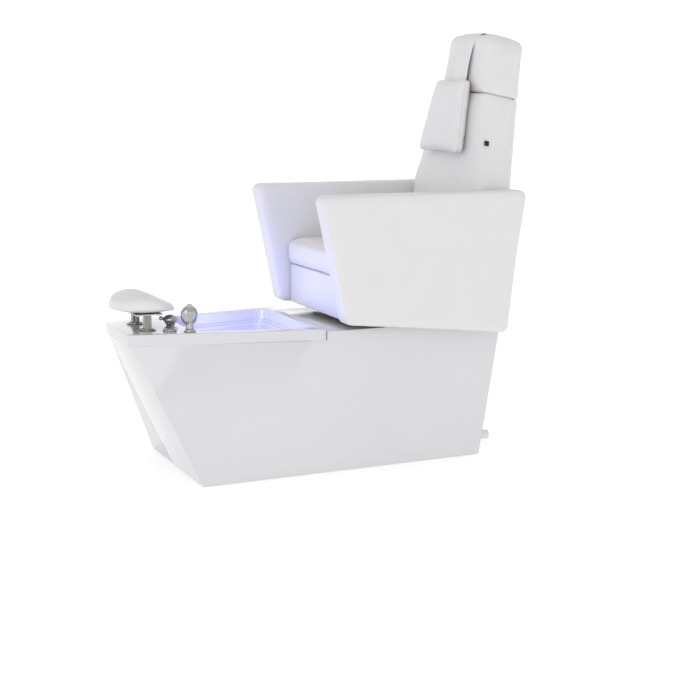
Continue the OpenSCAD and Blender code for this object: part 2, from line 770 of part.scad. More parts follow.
strap_x = 70;
strap_t = 3;
strap_hang = -50;                 // where the strap meets the pillow
pillow_top = 356;
pillow_low = 95;
pillow_top_x = 106;
pillow_low_x = 154;
pillow_y = -24;                   // rear face of the pillow
pillow_t = 54;
strap_end = 330;                  // lower end of the strap behind the back
function strap_line(o) = rounded([
    [strap_hang - o, pillow_top + 1], [-head_rake - 6 - o, back_len + 4 + o],
    [back_t + 4 + o, back_len + 4 + o], [back_t + 4 + o, strap_end]
], [1, 12 + o, 12 + o, 1], 4);

module pillow_strap() color("white") on_back() {
    outer = strap_line(strap_t);
    inner = strap_line(0);
    n = len(outer);
    // the band runs over the headrest from the pillow to the weight behind
    along_x(-strap_x, strap_x) polygon([
        for (i = [5 : n - 6]) outer[i],
        [back_t + 4 + strap_t, strap_end], [back_t + 4, strap_end],
        for (i = [n - 6 : -1 : 5]) inner[i],
        [strap_hang, pillow_top + 1], [strap_hang - strap_t, pillow_top + 1]
    ]);
}

module neck_pillow() color("white") on_back() through_back(pillow_y - pillow_t, pillow_y) polygon(rounded([
    [-pillow_low_x, pillow_low], [pillow_low_x, pillow_low], [pillow_top_x, pillow_top], [-pillow_top_x, pillow_top]
], [18, 18, 14, 14]));

weight_x = 74;
weight_low = 300;
weight_top = 380;
weight_y = back_t + 8;
weight_t = 18;
module counterweight() color("white") on_back() through_back(weight_y, weight_y + weight_t) polygon(rounded([
    [-weight_x, weight_low], [weight_x, weight_low], [weight_x, weight_top], [-weight_x, weight_top]
], [10, 10, 10, 10]));

base_plate();
base_frame();
plinth_shell();
deck_rim();
basin();
led_strip();
jet_nozzles();
jet_pump();
jet_pipes();
drain_strainer();
drain_plug();
drain_pipe();
drain_spigot();
water_inlets();
supply_pipes();
control_box();
power_inlet();
access_panel();
panel_screws();
post_sleeves();
mixer_base();
mixer_cap();
mixer_lever();
shower_holder();
hand_shower();
shower_face();
button_bezel();
button_cap();
button_bellows();
lower_rails();
glide_strips();
slide_actuator();
actuator_rod();
upper_rails();
seat_base();
seat_frame();
seat_pan();
seat_cushion();
apron();
left_arm();
right_arm();
rear_panel();
hinge_bushes();
recliner_motor();
recliner_shaft();
back_board();
back_cushion();
back_cover();
headrest_cushion();
headrest_cover();
blank_tag();
pillow_strap();
neck_pillow();
counterweight();
foot_posts();
foot_plate();
pad_screws();
foot_pad();
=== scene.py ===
"""Pedicure spa chair: upholstery, gloss mouldings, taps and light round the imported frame."""
import json
import math

import bmesh
import bpy
from mathutils import Matrix, Vector, noise


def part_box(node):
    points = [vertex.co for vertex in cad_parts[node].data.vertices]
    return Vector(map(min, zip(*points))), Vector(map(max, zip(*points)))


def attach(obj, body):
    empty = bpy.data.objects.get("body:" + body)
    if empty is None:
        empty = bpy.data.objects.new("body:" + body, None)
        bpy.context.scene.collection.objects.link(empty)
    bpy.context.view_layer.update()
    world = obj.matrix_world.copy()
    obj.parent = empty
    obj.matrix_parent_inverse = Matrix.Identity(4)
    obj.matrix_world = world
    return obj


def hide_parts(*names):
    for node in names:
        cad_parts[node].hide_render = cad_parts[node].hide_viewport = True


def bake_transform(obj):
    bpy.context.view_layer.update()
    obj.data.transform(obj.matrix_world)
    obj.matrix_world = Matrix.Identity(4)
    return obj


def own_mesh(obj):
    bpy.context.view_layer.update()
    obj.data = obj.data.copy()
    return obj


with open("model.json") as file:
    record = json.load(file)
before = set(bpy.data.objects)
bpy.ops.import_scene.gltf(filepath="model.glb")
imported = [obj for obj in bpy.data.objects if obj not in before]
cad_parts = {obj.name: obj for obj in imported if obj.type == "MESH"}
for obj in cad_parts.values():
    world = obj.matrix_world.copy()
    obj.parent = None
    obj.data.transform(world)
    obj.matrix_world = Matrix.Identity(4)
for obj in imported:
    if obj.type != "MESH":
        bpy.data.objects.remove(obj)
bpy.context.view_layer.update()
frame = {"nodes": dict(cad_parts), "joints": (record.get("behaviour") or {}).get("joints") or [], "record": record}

MM = 0.001
MERGE = 0.01 * MM           # points closer than this are one
scene = bpy.context.scene

# ---- camera ----

VIEW_TURN = math.radians(67.1)      # from straight ahead of the sitter round to their left
VIEW_TILT = math.radians(10.0)
CAMERA_AT = (4.9547, -1.9626, 1.3045)
LENS = 80.37


def place_camera():
    data = bpy.data.cameras.new("camera")
    data.lens = LENS
    data.sensor_width = 36
    data.clip_end = 60
    camera = bpy.data.objects.new("camera", data)
    camera.location = CAMERA_AT
    camera.rotation_euler = (math.pi / 2 - VIEW_TILT, 0, VIEW_TURN)
    scene.collection.objects.link(camera)
    scene.camera = camera


# ---- directions ----

BODY_OF = {n: b for b, ns in frame["record"]["behaviour"]["bodies"].items() for n in ns}
SLOT_OF = {row["node"]: row["material_slot"] for row in frame["record"]["subparts"]}
JOINTS = {joint["name"]: joint for joint in frame["joints"]}
pillow_axis = JOINTS["pillow_height"]["axis"]
LEAN = math.atan2(-pillow_axis[1], -pillow_axis[2])
TILTED = Matrix.Rotation(-LEAN, 4, "X")     # from the backrest's own directions to the chair's


def tilted_box(node):
    """A node's box along the backrest's own directions: across, rearward through it, and up along it."""
    back = TILTED.inverted()
    spots = [back @ v.co for v in frame["nodes"][node].data.vertices]
    low = Vector([min(p[k] for p in spots) for k in range(3)])
    high = Vector([max(p[k] for p in spots) for k in range(3)])
    return low, high


# ---- materials ----

def new_material(name, colour, roughness, metallic=0.0, **sockets):
    material = bpy.data.materials.new(name)
    material.use_nodes = True
    shader = material.node_tree.nodes["Principled BSDF"]
    shader.inputs["Base Color"].default_value = (*colour, 1)
    shader.inputs["Roughness"].default_value = roughness
    shader.inputs["Metallic"].default_value = metallic
    for socket, value in sockets.items():
        shader.inputs[socket.replace("_", " ")].default_value = value
    return material, shader


def add_node(material, kind, **values):
    node = material.node_tree.nodes.new(kind)
    for name, value in values.items():
        if name in node.inputs:
            node.inputs[name].default_value = value
        else:
            setattr(node, name, value)
    return node


def join(material, start, end):
    material.node_tree.links.new(start, end)


def object_coordinates(material):
    return add_node(material, "ShaderNodeTexCoord").outputs["Object"]


def vary(material, shader, socket, pattern, low, high):
    """Moves a socket between two values by a pattern."""
    spread = add_node(material, "ShaderNodeMapRange")
    spread.inputs["To Min"].default_value = low
    spread.inputs["To Max"].default_value = high
    join(material, pattern, spread.inputs["Value"])
    join(material, spread.outputs["Result"], shader.inputs[socket])


def tint(material, shader, pattern, dark, light):
    """Moves the colour between two tones by a pattern."""
    mix = add_node(material, "ShaderNodeMix", data_type="RGBA")
    colours = [s for s in mix.inputs if s.type == "RGBA"]
    colours[0].default_value = (*dark, 1)
    colours[1].default_value = (*light, 1)
    join(material, pattern, mix.inputs["Factor"])
    result = next(s for s in mix.outputs if s.type == "RGBA")
    join(material, result, shader.inputs["Base Color"])


def noise_at(material, scale, detail=2.0):
    pattern = add_node(material, "ShaderNodeTexNoise", Scale=scale, Detail=detail)
    join(material, object_coordinates(material), pattern.inputs["Vector"])
    return pattern.outputs["Fac"]


def bump(material, shader, height, depth, strength=1.0, under=None):
    node = add_node(material, "ShaderNodeBump", Strength=strength, Distance=depth)
    join(material, height, node.inputs["Height"])
    if under is not None:
        join(material, under, node.inputs["Normal"])
    join(material, node.outputs["Normal"], shader.inputs["Normal"])
    return node.outputs["Normal"]


def white_leather():
    """Smooth artificial leather: fine pebble grain, soft hand-scale undulation, slightly uneven sheen."""
    material, shader = new_material("white_leather", (0.78, 0.77, 0.77), 0.42)
    tint(material, shader, noise_at(material, 9, 3), (0.7, 0.69, 0.692), (0.74, 0.73, 0.732))
    vary(material, shader, "Roughness", noise_at(material, 35, 4), 0.36, 0.5)
    soft = bump(material, shader, noise_at(material, 16, 2), 1.4 * MM, 0.5)
    grain = add_node(material, "ShaderNodeTexVoronoi", Scale=620, feature="DISTANCE_TO_EDGE")
    join(material, object_coordinates(material), grain.inputs["Vector"])
    bump(material, shader, grain.outputs["Distance"], 0.12 * MM, 0.35, soft)
    return material


def gloss_moulding(name, dark, light, roughness=0.1):
    """Polished gelcoat: faint orange peel under a hard coat, with slightly duller hazy patches."""
    material, shader = new_material(name, light, roughness, Coat_Weight=0.35, Coat_Roughness=0.04)
    tint(material, shader, noise_at(material, 3, 2), dark, light)
    vary(material, shader, "Roughness", noise_at(material, 22, 4), roughness * 0.8, roughness * 1.7)
    bump(material, shader, noise_at(material, 55, 1), 0.25 * MM, 0.15)
    return material


def glow_painted_acrylic():
    """Basin acrylic with painted light: a blue tone and a faint glow that stand in for the strip light shining
    through it.
    """
    # painted light: the blue base tones stand in for the strip light's colour falling on the acrylic
    material, shader = new_material("glow_painted_acrylic", (0.45, 0.45, 0.78), 0.14,
                                    Coat_Weight=0.3, Coat_Roughness=0.05)
    tint(material, shader, noise_at(material, 5, 2), (0.4, 0.4, 0.74), (0.48, 0.48, 0.8))
    # painted glow: the acrylic emits, though it is no lamp, in place of the strip light behind it
    shader.inputs["Emission Color"].default_value = (0.52, 0.52, 1.0, 1)
    shader.inputs["Emission Strength"].default_value = 0.36
    bump(material, shader, noise_at(material, 45, 1), 0.25 * MM, 0.15)
    return material


def glowing_strip():
    material, shader = new_material("glowing_strip", (0.5, 0.5, 1.0), 0.3)
    shader.inputs["Emission Color"].default_value = (0.4, 0.42, 1.0, 1)
    shader.inputs["Emission Strength"].default_value = 0.4
    vary(material, shader, "Roughness", noise_at(material, 80), 0.25, 0.4)
    return material


def polished_metal(name, dark, light, roughness):
    """Plated metal: water-spotted and faintly smeared."""
    material, shader = new_material(name, light, roughness, metallic=1.0)
    tint(material, shader, noise_at(material, 40, 3), dark, light)
    vary(material, shader, "Roughness", noise_at(material, 120, 4), roughness * 0.6, roughness * 1.8)
    bump(material, shader, noise_at(material, 90, 1), 0.05 * MM, 0.2)
    return material


def brushed_metal(name, dark, light, roughness):
    """Drawn steel with fine lines along its length."""
    material, shader = new_material(name, light, roughness, metallic=1.0)
    lines = add_node(material, "ShaderNodeTexNoise", Scale=4, Detail=3)
    stretch = add_node(material, "ShaderNodeMapping")
    stretch.inputs["Scale"].default_value = (160, 160, 4)
    join(material, object_coordinates(material), stretch.inputs["Vector"])
    join(material, stretch.outputs["Vector"], lines.inputs["Vector"])
    tint(material, shader, lines.outputs["Fac"], dark, light)
    vary(material, shader, "Roughness", lines.outputs["Fac"], roughness * 0.7, roughness * 1.4)
    bump(material, shader, lines.outputs["Fac"], 0.04 * MM, 0.3)
    return material


def plain_plastic(name, colour, roughness=0.45, grain=260):
    """Moulded plastic with a fine spark texture."""
    material, shader = new_material(name, colour, roughness)
    dark = tuple(0.88 * c for c in colour)
    tint(material, shader, noise_at(material, 14, 3), dark, colour)
    vary(material, shader, "Roughness", noise_at(material, 60, 3), roughness * 0.85, roughness * 1.15)
    bump(material, shader, noise_at(material, grain, 2), 0.08 * MM, 0.35)
    return material


def raw_plywood():
    """Birch plywood: long grain bands along X with darker veins."""
    material, shader = new_material("raw_plywood", (0.62, 0.46, 0.28), 0.6)
    stretch = add_node(material, "ShaderNodeMapping")
    stretch.inputs["Scale"].default_value = (2, 30, 30)
    grain = add_node(material, "ShaderNodeTexNoise", Scale=3, Detail=6)
    join(material, object_coordinates(material), stretch.inputs["Vector"])
    join(material, stretch.outputs["Vector"], grain.inputs["Vector"])
    tint(material, shader, grain.outputs["Fac"], (0.5, 0.34, 0.19), (0.74, 0.58, 0.38))
    bump(material, shader, grain.outputs["Fac"], 0.2 * MM, 0.4)
    return material


MATERIALS = {
    "white_leather": white_leather(),
    "shell": gloss_moulding("gloss_shell", (0.64, 0.635, 0.645), (0.68, 0.675, 0.69)),
    "basin_acrylic": glow_painted_acrylic(),
    "led": glowing_strip(),
    "chrome": polished_metal("chrome", (0.34, 0.335, 0.33), (0.5, 0.495, 0.49), 0.1),
    "dark_chrome": polished_metal("dark_chrome", (0.16, 0.15, 0.14), (0.34, 0.32, 0.31), 0.16),
    "steel": brushed_metal("drawn_steel", (0.4, 0.4, 0.41), (0.62, 0.62, 0.63), 0.34),
    "plate_steel": brushed_metal("galvanised", (0.45, 0.46, 0.47), (0.66, 0.67, 0.68), 0.5),
    "bronze": polished_metal("bronze", (0.45, 0.3, 0.14), (0.66, 0.46, 0.24), 0.3),
    "pipe_metal": polished_metal("pipe_metal", (0.5, 0.28, 0.16), (0.75, 0.45, 0.28), 0.28),
    "pale_plastic": plain_plastic("pale_plastic", (0.72, 0.72, 0.74), 0.35),
    "grey_plastic": plain_plastic("grey_plastic", (0.13, 0.135, 0.14)),
    "black_plastic": plain_plastic("black_plastic", (0.018, 0.018, 0.02)),
    "black_steel": plain_plastic("powder_coat", (0.02, 0.02, 0.021), 0.5, 420),
    "button_face": plain_plastic("button_face", (0.3, 0.42, 0.37), 0.25),
    "rubber": plain_plastic("rubber", (0.03, 0.03, 0.03), 0.75, 500),
    "tag": plain_plastic("woven_tag", (0.012, 0.012, 0.013), 0.8, 900),
    "plywood": raw_plywood(),
}


# ---- making pieces ----

def object_from(bm, name):
    mesh = bpy.data.meshes.new(name)
    bm.to_mesh(mesh)
    bm.free()
    piece = bpy.data.objects.new(name, mesh)
    scene.collection.objects.link(piece)
    return piece


def shade(piece, angle=35):
    """Smooth, with creases kept where faces meet at more than an angle."""
    piece.data.shade_smooth()
    piece.data.set_sharp_from_angle(angle=math.radians(angle))


def fit(piece, body, slot, replaced, angle=35):
    """Gives a finished piece its material and its body, and hides the nodes it stands for."""
    piece.data.materials.clear()
    piece.data.materials.append(MATERIALS[slot])
    shade(piece, angle)
    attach(piece, body)
    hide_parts(*replaced)
    return piece


def copy_of(node):
    """A CAD node's mesh with its triangles merged back into whole faces."""
    bm = bmesh.new()
    bm.from_mesh(frame["nodes"][node].data)
    bmesh.ops.remove_doubles(bm, verts=bm.verts, dist=MERGE)
    bmesh.ops.dissolve_limit(bm, angle_limit=math.radians(1), verts=bm.verts, edges=bm.edges)
    return bm


def sharp_edges(bm, angle=25, where=lambda edge: True):
    """Edges where two faces meet at more than an angle, and that pass a further test."""
    limit = math.radians(angle)
    return [e for e in bm.edges if len(e.link_faces) == 2 and e.calc_face_angle(0) > limit and where(e)]


def round_edges(bm, edges, radius, segments=3):
    bmesh.ops.bevel(bm, geom=edges, offset=radius, offset_type="OFFSET", segments=segments, profile=0.5,
                    affect="EDGES", clamp_overlap=True, material=-1)


def softened(node, radius):
    """A CAD node again, with its sharp edges eased."""
    bm = copy_of(node)
    round_edges(bm, sharp_edges(bm), radius, 2)
    return fit(object_from(bm, node + "_finished"), BODY_OF[node], SLOT_OF[node], replaced=(node,))


def spun(profile, centre, steps, axis=(0, 0, 1)):
    """A turned solid: (radius, height) points spun about an axis through a centre."""
    bm = bmesh.new()
    chain = [bm.verts.new((r, 0, z)) for r, z in profile]
    edges = [bm.edges.new(pair) for pair in zip(chain, chain[1:])]
    bmesh.ops.spin(bm, geom=chain + edges, cent=(0, 0, 0), axis=(0, 0, 1), angle=2 * math.pi,
                   steps=steps, use_merge=True)
    bmesh.ops.remove_doubles(bm, verts=bm.verts, dist=MERGE)
    bmesh.ops.recalc_face_normals(bm, faces=bm.faces)
    turn = Vector((0, 0, 1)).rotation_difference(Vector(axis)).to_matrix().to_4x4()
    bm.transform(Matrix.Translation(centre) @ turn)
    return bm


def merge_into(bm, other):
    """Adds another bmesh's parts to this one."""
    mesh = bpy.data.meshes.new("part")
    other.to_mesh(mesh)
    other.free()
    bm.from_mesh(mesh)
    bpy.data.meshes.remove(mesh)
    return bm


def ring_of(bm, points):
    """The edges of a closed ring through points."""
    verts = [bm.verts.new(p) for p in points]
    return [bm.edges.new((verts[k - 1], verts[k])) for k in range(len(verts))]


def lofted(rings):
    """A solid over a stack of rings that all have the same number of points."""
    bm = bmesh.new()
    loops = [ring_of(bm, points) for points in rings]
    for low, high in zip(loops, loops[1:]):
        bmesh.ops.bridge_loops(bm, edges=low + high)
    for end in (loops[0], loops[-1]):
        bmesh.ops.contextual_create(bm, geom=end)
    bmesh.ops.recalc_face_normals(bm, faces=bm.faces)
    return bm


# ---- upholstery ----

REMESH_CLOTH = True
SIM_FRAMES = 20


def apply_modifiers(piece):
    """Makes what a piece's modifiers show its own mesh, and takes them off."""
    graph = bpy.context.evaluated_depsgraph_get()
    mesh = bpy.data.meshes.new_from_object(piece.evaluated_get(graph))
    old = piece.data
    piece.modifiers.clear()
    piece.data = mesh
    bpy.data.meshes.remove(old)


def remesh(piece, voxel):
    step = piece.modifiers.new("remesh", "REMESH")
    step.mode = "VOXEL"
    step.voxel_size = voxel
    apply_modifiers(piece)


def swell(piece, pressure, cap):
    """Lets the stuffing push the cover out, by no more than about the cap."""
    rest = [v.co.copy() for v in piece.data.vertices]
    cloth = piece.modifiers.new("stuffing", "CLOTH")
    settings = cloth.settings
    settings.quality = 5
    settings.use_pressure = True
    settings.uniform_pressure_force = pressure
    settings.effector_weights.gravity = 0
    settings.tension_stiffness = 12
    settings.compression_stiffness = 12
    settings.bending_stiffness = 0.8
    cloth.point_cache.frame_start = 1
    cloth.point_cache.frame_end = SIM_FRAMES
    for number in range(1, SIM_FRAMES + 1):
        scene.frame_set(number)
    apply_modifiers(piece)
    scene.frame_set(1)
    for vertex, start in zip(piece.data.vertices, rest):
        move = vertex.co - start
        if move.length > 0:
            vertex.co = start + move * (cap * math.tanh(move.length / cap) / move.length)


def relax(piece, times):
    """Evens out a piece's surface."""
    bm = bmesh.new()
    bm.from_mesh(piece.data)
    for _ in range(times):
        bmesh.ops.smooth_vert(bm, verts=bm.verts, factor=0.5,
                              use_axis_x=True, use_axis_y=True, use_axis_z=True)
    bm.to_mesh(piece.data)
    bm.free()


def subdivide_once(piece):
    step = piece.modifiers.new("smooth", "SUBSURF")
    step.levels = 1
    step.render_levels = 1
    apply_modifiers(piece)


def formed(piece, form):
    """Moves each point of a piece to where a form puts it."""
    for vertex in piece.data.vertices:
        vertex.co = form(vertex.co)


SEAM_WIDTH = 5 * MM         # how far from a sewn line the cover starts to sink
SEAM_DEPTH = 1.6 * MM


def pull_in(piece, seam):
    """Sinks a sewn line into the cover: seam(point) is the distance from the line's plane."""
    moves = []
    for vertex in piece.data.vertices:
        off = abs(seam(vertex.co)) / SEAM_WIDTH
        moves.append(vertex.normal * (-SEAM_DEPTH * (1 - off * off) ** 2) if off < 1 else None)
    for vertex, move in zip(piece.data.vertices, moves):
        if move:
            vertex.co += move


def cushion(name, nodes, bm, voxel=5 * MM, pressure=4.0, cap=10 * MM, tilted=False,
            smoothing=3, form=None, seams=()):
    """A stuffed piece from a plain solid: remeshed, swollen, seamed and dressed in leather."""
    piece = object_from(bm, name)
    remesh(piece, voxel if REMESH_CLOTH else 2 * voxel)
    if form:
        formed(piece, form)
    relax(piece, smoothing)
    if REMESH_CLOTH:
        swell(piece, pressure, cap)
        relax(piece, 2)
        subdivide_once(piece)
    for seam in seams:
        pull_in(piece, seam)
    if tilted:
        piece.data.transform(TILTED)
    fit(piece, BODY_OF[nodes[0]], "white_leather", replaced=nodes, angle=70)
    return piece


def shrink(bm, amount):
    """Moves every face in by an amount, to leave room for the swelling."""
    low = Vector([min(v.co[k] for v in bm.verts) for k in range(3)])
    high = Vector([max(v.co[k] for v in bm.verts) for k in range(3)])
    middle = (low + high) / 2
    size = high - low
    factor = [(size[k] - 2 * amount) / size[k] for k in range(3)]
    for v in bm.verts:
        v.co = middle + Vector([(v.co[k] - middle[k]) * factor[k] for k in range(3)])


def upright(node):
    """A CAD node's merged mesh turned into the backrest's own directions."""
    bm = copy_of(node)
    bm.transform(TILTED.inverted())
    return bm


def face_edges(bm, axis, value, tolerance=0.6 * MM):
    """Edges that lie wholly in the plane where a coordinate has a value."""
    return [e for e in bm.edges if all(abs(v.co[axis] - value) < tolerance for v in e.verts)]


def ease(start, end, value):
    """0 before start, 1 after end and smooth between."""
    t = max(0.0, min(1.0, (value - start) / (end - start)))
    return t * t * (3 - 2 * t)


ARM_GAP = 1 * MM            # room left on each side for the arm's swelling
ARM_ROUND = 11 * MM
ARM_FOOT = 40 * MM          # the arm's lower corners all lie within this height
ARM_HEM = 14 * MM           # from the arm's sloping lower edge up to its seam
ARM_REAR_FILL = 8 * MM      # how far the stuffing stands out at the arm's rear top corner


def make_arms():
    """The left arm, sewn along a hem above its lower edge, and its mirror image."""
    low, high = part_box("left_arm")
    bm = copy_of("left_arm")
    shrink(bm, ARM_GAP)
    sides = face_edges(bm, 0, high.x - ARM_GAP) + face_edges(bm, 0, low.x + ARM_GAP)
    round_edges(bm, sides, ARM_ROUND, 4)
    foot = [v for v in bm.verts if v.co.z < low.z + ARM_FOOT]
    front_low = min(foot, key=lambda v: v.co.y).co.copy()
    rear_low = max(foot, key=lambda v: v.co.y).co.copy()
    slope = (rear_low.z - front_low.z) / (rear_low.y - front_low.y)
    middle = (low + high) / 2

    def stuffed(spot):
        rear = max(0.0, (spot.y - middle.y) / (high.y - middle.y))
        return spot + Vector((0, ARM_REAR_FILL * rear * ease(middle.z, high.z, spot.z), 0))

    def hem(spot):
        return spot.z - front_low.z - slope * (spot.y - front_low.y) - ARM_HEM

    left = cushion("left_arm_upholstery", ["left_arm"], bm, voxel=6 * MM, pressure=3.0, cap=3 * MM,
                   smoothing=1, form=stuffed, seams=(hem,))
    bm = bmesh.new()
    bm.from_mesh(left.data)
    bmesh.ops.scale(bm, vec=(-1, 1, 1), verts=bm.verts)
    bmesh.ops.reverse_faces(bm, faces=bm.faces)
    piece = object_from(bm, "right_arm_upholstery")
    fit(piece, "seat", "white_leather", replaced=("right_arm",), angle=70)


SEAT_GAP = 4 * MM           # room left on each side for the seat cushion's swelling
SEAT_ROUND = 16 * MM
SEAT_SEAM = 22 * MM         # from the cushion's lower face up to its seam
PANEL_ROUND = 5 * MM
APRON_LAP = 5 * MM          # how far the apron presses up into the cushion


def make_seat():
    """The seat cushion, with the firm padded apron below it and the padded panel behind it."""
    low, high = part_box("seat_cushion")
    bm = copy_of("seat_cushion")
    shrink(bm, SEAT_GAP)
    sides = face_edges(bm, 0, high.x - SEAT_GAP) + face_edges(bm, 0, low.x + SEAT_GAP)
    round_edges(bm, sides, SEAT_ROUND, 4)
    cushion("seat_cushion_upholstery", ["seat_cushion"], bm, cap=9 * MM,
            seams=(lambda p: p.z - low.z - SEAT_SEAM,))
    for node in ("apron", "rear_panel"):
        bm = copy_of(node)
        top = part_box(node)[1].z
        if node == "apron":
            upper = [v for v in bm.verts if v.co.z > top - 0.5 * MM]
            bmesh.ops.translate(bm, vec=(0, 0, APRON_LAP), verts=upper)
        round_edges(bm, sharp_edges(bm), PANEL_ROUND, 3)
        piece = object_from(bm, node + "_upholstery")
        fit(piece, "seat", "white_leather", replaced=(node,))


FRONT_ROUND = 22 * MM       # long front edges of the backrest
REAR_ROUND = 15 * MM        # long rear edges
SEAM_ROUND = 5 * MM         # edges where the headrest meets the back
PROUD = 10 * MM             # how far the stuffing stands forward all over above the arms
CROWN = 8 * MM              # and how much further in the middle
WIDER = 5 * MM              # and how far out at each side
BOARD_LAP = 7 * MM          # how far the cover is drawn down over the end of the back board
SEAM_LAP = 3 * MM           # how far the two sections press into each other
TOP_CORNER = 38 * MM        # round of a section's end corners, seen from the front
REAR_JOIN = 25 * MM         # from the rear face forward to the seam between cushion and rear cover
BACK_GAP = 1 * MM           # room left for the back's swelling
CROWN_FADE = 160 * MM       # below the shoulders, where the stuffing starts to stand proud
CROWN_FULL = 40 * MM        # above them, where it stands fully proud
HEAD_TAPER = 6 * MM         # how much narrower the headrest's top is drawn in
HEAD_TOP = 39 * MM          # the headrest's top corners lie within this height


def level_at(levels, z):
    """Half width, front and rear of a section at a height."""
    for (z0, *a), (z1, *b) in zip(levels, levels[1:]):
        if z <= z1:
            t = max(0.0, (z - z0) / (z1 - z0))
            return [p + (q - p) * t for p, q in zip(a, b)]
    return list(levels[-1][1:])


def back_section(name, nodes, levels, seam_z, end_z, crown_start, crown_end):
    """One stuffed section of the backrest, lofted through (height, half width, front, rear) levels."""
    bm = lofted([[(-w, front, z), (w, front, z), (w, rear, z), (-w, rear, z)]
                 for z, w, front, rear in levels])
    corners = [e for e in face_edges(bm, 2, end_z) if abs(e.verts[0].co.x - e.verts[1].co.x) < 1 * MM]
    round_edges(bm, corners, TOP_CORNER, 6)

    def outline(column, edge):
        spots = [v.co for v in edge.verts]
        in_face = all(abs(s.y - level_at(levels, s.z)[column]) < 0.5 * MM for s in spots)
        on_seam = all(abs(s.z - seam_z) < 0.5 * MM for s in spots)
        return in_face and not on_seam

    round_edges(bm, sharp_edges(bm, 40, lambda e: outline(1, e)), FRONT_ROUND, 5)
    round_edges(bm, sharp_edges(bm, 40, lambda e: outline(2, e)), REAR_ROUND, 4)
    at_seam = sharp_edges(bm, 40, lambda e: all(abs(v.co.z - seam_z) < 0.5 * MM for v in e.verts))
    round_edges(bm, at_seam, SEAM_ROUND, 3)

    def stuffed(spot):
        half, front, rear = level_at(levels, spot.z)
        forward = max(0.0, 1 - 2 * (spot.y - front) / (rear - front))
        raised = ease(crown_start, crown_end, spot.z)
        rise = raised * forward * (PROUD + CROWN * max(0.0, 1 - (spot.x / half) ** 2))
        return Vector((spot.x * (1 + raised * WIDER / half), spot.y - rise, spot.z))

    join_y = levels[0][3] - REAR_JOIN
    return cushion(name, nodes, bm, voxel=6 * MM, cap=4 * MM, pressure=3.5, tilted=True,
                   smoothing=1, form=stuffed, seams=(lambda p: p.y - join_y,))


def make_back():
    """The back, straight up to its shoulders and tapered above them, and the headrest on top of it."""
    low, high = tilted_box("back_cushion")
    head_low, head_high = tilted_box("headrest_cushion")
    shoulder = max(v.co.z for v in upright("back_cushion").verts if v.co.x > high.x - 0.5 * MM)
    half = high.x - BACK_GAP
    seam_half = head_high.x
    front = low.y
    rear = tilted_box("back_cover")[1].y - BACK_GAP
    back_top = high.z + SEAM_LAP
    back_end = low.z - BOARD_LAP
    back_section("back_upholstery", ["back_cushion", "back_cover"], [
        (back_end, half, front, rear),
        (shoulder, half, front, rear),
        (back_top, seam_half, front, rear),
    ], back_top, back_end, shoulder - CROWN_FADE, shoulder + CROWN_FULL)
    top_corners = [v.co.x for v in upright("headrest_cushion").verts if v.co.z > head_high.z - HEAD_TOP]
    rear_top = max(v.co.y for v in upright("headrest_cover").verts if v.co.z > head_high.z - 1 * MM)
    head_seam = head_low.z - SEAM_LAP
    back_section("headrest_upholstery", ["headrest_cushion", "headrest_cover"], [
        (head_seam, seam_half, front, rear),
        (head_high.z, max(top_corners) - HEAD_TAPER, head_low.y, rear_top),
    ], head_seam, head_high.z, head_low.z - 100 * MM, head_low.z + 10 * MM)


PILLOW_GAP = 2 * MM         # room left on each side for the pillow's swelling
PILLOW_ROUND = 12 * MM
PILLOW_TOP = 15 * MM        # the pillow's top corners lie within this height
PILLOW_EDGE = 0.5           # thickness of the pillow's rim, of its middle
POUCH_ROUND = 5 * MM


def make_pillow():
    """The neck pillow, narrower at the top and thin at its rim, and the weight's pouch behind."""
    low, high = tilted_box("neck_pillow")
    middle = (low + high) / 2
    top_half = max(v.co.x for v in upright("neck_pillow").verts if v.co.z > high.z - PILLOW_TOP)
    bm = upright("neck_pillow")
    shrink(bm, PILLOW_GAP)
    faces = face_edges(bm, 1, low.y + PILLOW_GAP) + face_edges(bm, 1, high.y - PILLOW_GAP)
    round_edges(bm, faces, PILLOW_ROUND, 4)

    def stuffed(spot):
        up = (spot.z - low.z) / (high.z - low.z)
        across = min(1.0, abs(spot.x) / (high.x + (top_half - high.x) * up))
        along = min(1.0, abs(2 * up - 1))
        full = PILLOW_EDGE + (1 - PILLOW_EDGE) * (1 - across ** 3) * (1 - along ** 3)
        if spot.y > middle.y:
            full = (1 + full) / 2
        return Vector((spot.x, middle.y + (spot.y - middle.y) * full, spot.z))

    cushion("neck_pillow_upholstery", ["neck_pillow"], bm, voxel=4 * MM, cap=7 * MM,
            tilted=True, smoothing=2, form=stuffed, seams=(lambda p: p.y - middle.y,))
    bm = upright("counterweight")
    round_edges(bm, sharp_edges(bm), POUCH_ROUND, 3)
    bm.transform(TILTED)
    piece = object_from(bm, "counterweight_pouch")
    fit(piece, "pillow_weight", "white_leather", replaced=("counterweight",))


def through(points, steps):
    """A smooth curve through given points."""
    ends = [2 * points[0] - points[1], *points, 2 * points[-1] - points[-2]]
    line = []
    for a, b, c, d in zip(ends, ends[1:], ends[2:], ends[3:]):
        for i in range(steps):
            t = i / steps
            line.append(0.5 * (2 * b + (c - a) * t + (2 * a - 5 * b + 4 * c - d) * t * t
                               + (3 * b - a - 3 * c + d) * t ** 3))
    return [*line, points[-1]]


STRAP_THICK = 2.6 * MM
STRAP_CELLS = 22            # across the strap
STRAP_SEWN = 16 * MM        # ahead of the pillow's rear face, where the strap goes into it
STRAP_DOWN = 3 * MM         # inside the CAD strap's rear face, where it runs down to the weight
STRAP_LOOSE = 70 * MM       # below the headrest's top, where it hangs free enough to wrinkle
STRAP_FOLD = 2.4 * MM       # height of its wrinkles


